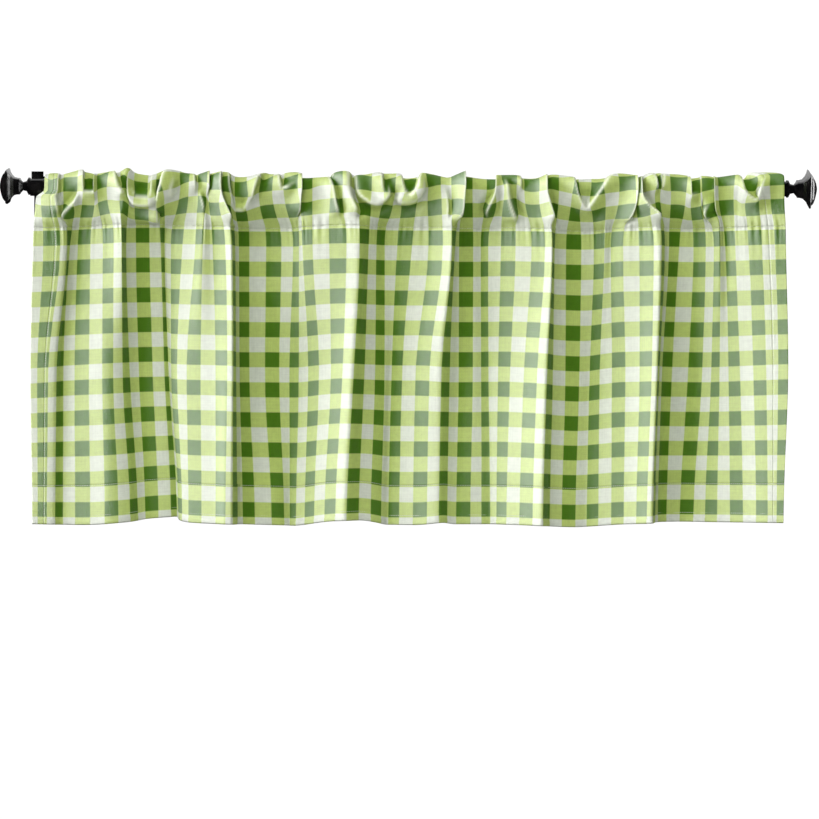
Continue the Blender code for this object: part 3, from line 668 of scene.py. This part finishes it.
def ginghamMaterial():
    g = ginghamValues
    material = bpy.data.materials.new("gingham_cotton")
    material.use_nodes = True
    tree = material.node_tree
    nodes, links = tree.nodes, tree.links
    shader = nodes["Principled BSDF"]
    uv = nodes.new("ShaderNodeUVMap")
    uv.uv_map = "UVMap"

    def use(group):
        node = nodes.new("ShaderNodeGroup")
        node.node_tree = group
        links.new(uv.outputs["UV"], node.inputs["Place"])
        return node.outputs

    def mix(factor, a, b, blend="MIX"):
        node = nodes.new("ShaderNodeMix")
        node.data_type = "RGBA"
        node.blend_type = blend
        for socket, value in ((node.inputs["Factor"], factor), (node.inputs["A"], a),
                              (node.inputs["B"], b)):
            if isinstance(value, (int, float)):
                socket.default_value = value
            elif isinstance(value, tuple):
                socket.default_value = (*value, 1.0)
            else:
                links.new(value, socket)
        return node.outputs["Result"]

    stripes, weave, sewn = use(stripesGroup()), use(weaveGroup()), use(stitchGroup())
    both = mathNode(tree, "MULTIPLY", stripes["Warp"], stripes["Weft"])
    either = mathNode(tree, "MAXIMUM", stripes["Warp"], stripes["Weft"])
    colour = mix(either, g["white"], g["mixed"])
    colour = mix(both, colour, g["green"])

    # in the mixed checks the coloured and the white thread take turns on top
    single = mathNode(tree, "SUBTRACT", either, both)
    turn = mathNode(tree, "MULTIPLY", mathNode(tree, "SUBTRACT", weave["Over"], 0.5), single)
    light = mathNode(tree, "ADD", mathNode(tree, "MULTIPLY", weave["Mottle"], g["mottle"]),
                     mathNode(tree, "MULTIPLY", turn, g["interlace"]))
    shade = nodes.new("ShaderNodeCombineColor")
    for channel in ("Red", "Green", "Blue"):
        links.new(mathNode(tree, "ADD", light, 1.0), shade.inputs[channel])
    colour = mix(1.0, colour, shade.outputs[0], "MULTIPLY")
    colour = mix(mathNode(tree, "MULTIPLY", sewn["Thread"], stitchValues["cover"]), colour,
                 stitchValues["thread"])

    # the crests of the gathers get a painted highlight, a pale colour mixed in where the light catches
    # them
    crestHighlight = nodes.new("ShaderNodeAttribute")
    crestHighlight.attribute_name = "crestHighlight"
    colour = mix(mathNode(tree, "MULTIPLY", crestHighlight.outputs["Fac"], g["paintedHighlightShare"]), colour, g["paintedHighlight"])

    bump = nodes.new("ShaderNodeBump")
    bump.inputs["Strength"].default_value = 1.0
    bump.inputs["Distance"].default_value = g["bump"]
    raised = mathNode(tree, "MULTIPLY", sewn["Thread"], stitchValues["threadHeight"])
    pressed = mathNode(tree, "MULTIPLY", sewn["Dent"], stitchValues["dentDepth"])
    height = mathNode(tree, "SUBTRACT", mathNode(tree, "ADD", weave["Height"], raised), pressed)
    links.new(height, bump.inputs["Height"])

    links.new(colour, shader.inputs["Base Color"])
    links.new(bump.outputs[0], shader.inputs["Normal"])
    shader.inputs["Roughness"].default_value = g["roughness"]
    shader.inputs["Specular IOR Level"].default_value = g["specular"]
    shader.inputs["Sheen Weight"].default_value = g["sheen"]
    shader.inputs["Sheen Roughness"].default_value = g["sheenRoughness"]
    # a little light comes through the thin cloth
    through = nodes.new("ShaderNodeBsdfTranslucent")
    links.new(colour, through.inputs["Color"])
    thin = nodes.new("ShaderNodeMixShader")
    thin.inputs["Fac"].default_value = g["through"]
    links.new(shader.outputs[0], thin.inputs[1])
    links.new(through.outputs[0], thin.inputs[2])
    links.new(thin.outputs[0], nodes["Material Output"].inputs["Surface"])
    return material


enamelValues = {
    "black": (0.003, 0.003, 0.0035),
    "worn": (0.010, 0.009, 0.009),
    "roughness": (0.17, 0.26),
    "patchSize": 0.012,
    "specular": 0.6,
    "ripple": 0.00001,         # depth of the fine ripple, and its size
    "rippleSize": 0.0016,
}


def solidNoise(tree, size, detail):
    # noise through the piece, in metres
    place = tree.nodes.new("ShaderNodeTexCoord")
    node = tree.nodes.new("ShaderNodeTexNoise")
    tree.links.new(place.outputs["Object"], node.inputs["Vector"])
    node.inputs["Scale"].default_value = 1 / size
    node.inputs["Detail"].default_value = detail
    return node.outputs[0]


def enamelMaterial():
    # sprayed gloss enamel: slightly rippled, a little duller in patches
    e = enamelValues
    material = bpy.data.materials.new("black_enamel_gloss")
    material.use_nodes = True
    tree = material.node_tree
    shader = tree.nodes["Principled BSDF"]
    patches = rampNode(tree, solidNoise(tree, e["patchSize"], 3.0), 0.35, 0.70)
    glossy, dull = e["roughness"]
    roughness = mathNode(tree, "ADD", mathNode(tree, "MULTIPLY", patches, dull - glossy), glossy)
    colour = tree.nodes.new("ShaderNodeMix")
    colour.data_type = "RGBA"
    colour.inputs["A"].default_value = (*e["black"], 1.0)
    colour.inputs["B"].default_value = (*e["worn"], 1.0)
    tree.links.new(patches, colour.inputs["Factor"])
    bump = tree.nodes.new("ShaderNodeBump")
    bump.inputs["Strength"].default_value = 1.0
    bump.inputs["Distance"].default_value = e["ripple"]
    tree.links.new(solidNoise(tree, e["rippleSize"], 1.0), bump.inputs["Height"])
    tree.links.new(colour.outputs["Result"], shader.inputs["Base Color"])
    tree.links.new(roughness, shader.inputs["Roughness"])
    tree.links.new(bump.outputs[0], shader.inputs["Normal"])
    shader.inputs["Specular IOR Level"].default_value = e["specular"]
    return material


# the part

cloth = buildCloth()
cloth.data.materials.clear()
cloth.data.materials.append(ginghamMaterial())
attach(cloth, "root")
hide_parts("valance")

enamel = enamelMaterial()
hardware = [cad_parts[name] for name in ("rod", "finial_left", "finial_right", "bracket_left",
                                              "bracket_right")]
for piece in hardware:
    for slot in piece.material_slots:
        slot.material = enamel
print("cloth and hardware finished")

# floor, light and camera

stageValues = {
    "floorZ": -1.20, "floorSize": 5.0, "floorGrey": 0.82, "floorRoughness": 0.9,
    "world": 1.05, "ambient": 0.18,
    "keyFrom": (-0.828, -0.369, 0.423), "keyAngle": 60.0, "keyStrength": 2.25,
    "topFrom": (-0.25, -0.43, 0.866), "topAngle": 20.0, "topStrength": 0.9,
    "fillFrom": (0.10, -1.0, 0.25), "fillAngle": 50.0, "fillStrength": 1.0,
    "glossFrom": (-0.93, -0.27, 0.14), "glossAngle": 42.0, "glossStrength": 38.0,
    "behindFrom": (0.0, 0.70, 0.71), "behindAngle": 80.0, "behindStrength": 1.2,
    "sideFrom": (0.975, 0.205, 0.0), "sideAngle": 24.0, "sideStrength": 1.8,
    "sensor": 36.0, "cameraDistance": 4.0, "clothY": -0.074, "frameWidth": 1.0333,
    "centreZ": -0.2807, "roll": -0.0037, "aside": 0.0025,
}

bpy.ops.object.select_all(action="DESELECT")
bpy.ops.mesh.primitive_plane_add(size=stageValues["floorSize"],
                                 location=(0, 0, stageValues["floorZ"]))
floor = bpy.context.object
floor.name = "floor"
floorMaterial = bpy.data.materials.new("pale_floor")
floorMaterial.use_nodes = True
floorShader = floorMaterial.node_tree.nodes["Principled BSDF"]
floorShader.inputs["Base Color"].default_value = (*[stageValues["floorGrey"]] * 3, 1.0)
floorShader.inputs["Roughness"].default_value = stageValues["floorRoughness"]
floor.data.materials.append(floorMaterial)
floor.visible_glossy = False

# the world is white to look at, lights the matt parts faintly, and isn't mirrored
world = bpy.data.worlds.new("studio")
bpy.context.scene.world = world
world.use_nodes = True
studio = world.node_tree
background = studio.nodes["Background"]
background.inputs["Color"].default_value = (1, 1, 1, 1)
seen = studio.nodes.new("ShaderNodeBackground")
seen.inputs["Color"].default_value = (1, 1, 1, 1)
seen.inputs["Strength"].default_value = stageValues["world"]
rays = studio.nodes.new("ShaderNodeLightPath")
unmirrored = mathNode(studio, "SUBTRACT", 1.0, rays.outputs["Is Glossy Ray"])
studio.links.new(mathNode(studio, "MULTIPLY", unmirrored, stageValues["ambient"]),
                 background.inputs["Strength"])
choose = studio.nodes.new("ShaderNodeMixShader")
studio.links.new(rays.outputs["Is Camera Ray"], choose.inputs["Fac"])
studio.links.new(background.outputs[0], choose.inputs[1])
studio.links.new(seen.outputs[0], choose.inputs[2])
studio.links.new(choose.outputs[0], studio.nodes["World Output"].inputs["Surface"])


def sunLight(name):
    data = bpy.data.lights.new(name, "SUN")
    data.angle = math.radians(stageValues[name + "Angle"])
    data.energy = stageValues[name + "Strength"]
    lamp = bpy.data.objects.new(name, data)
    bpy.context.scene.collection.objects.link(lamp)
    toward = Vector(stageValues[name + "From"])
    lamp.rotation_euler = (-toward).to_track_quat("-Z", "Y").to_euler()
    return lamp


def pieceCollection(name, pieces):
    collection = bpy.data.collections.new(name)
    for piece in pieces:
        collection.objects.link(piece)
    return collection


# soft light for the colours
for name in ("key", "top", "fill"):
    sunLight(name).visible_glossy = False

# light that only shows as a shine, on the cloth, on everything, and on the hardware
shines = {name: sunLight(name) for name in ("gloss", "behind", "side")}
for lamp in shines.values():
    lamp.visible_diffuse = False
    lamp.visible_transmission = False
shines["gloss"].light_linking.receiver_collection = pieceCollection("gloss_only_on", [cloth])
shines["side"].light_linking.receiver_collection = pieceCollection("side_only_on", hardware)

# of all pieces only the right finial shades the side light, so that it reaches the left finial too
shines["side"].light_linking.blocker_collection = pieceCollection(
    "side_shaded_by", [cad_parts["finial_right"]])

cameraData = bpy.data.cameras.new("camera")
cameraData.sensor_width = stageValues["sensor"]
cameraData.lens = stageValues["sensor"] * stageValues["cameraDistance"] / stageValues["frameWidth"]
camera = bpy.data.objects.new("camera", cameraData)
bpy.context.scene.collection.objects.link(camera)
camera.location = (stageValues["aside"], stageValues["clothY"] - stageValues["cameraDistance"],
                   stageValues["centreZ"])
camera.rotation_euler = (math.radians(90), stageValues["roll"], 0)
bpy.context.scene.camera = camera
bpy.context.scene.view_settings.view_transform = "Standard"
print("stage ready")
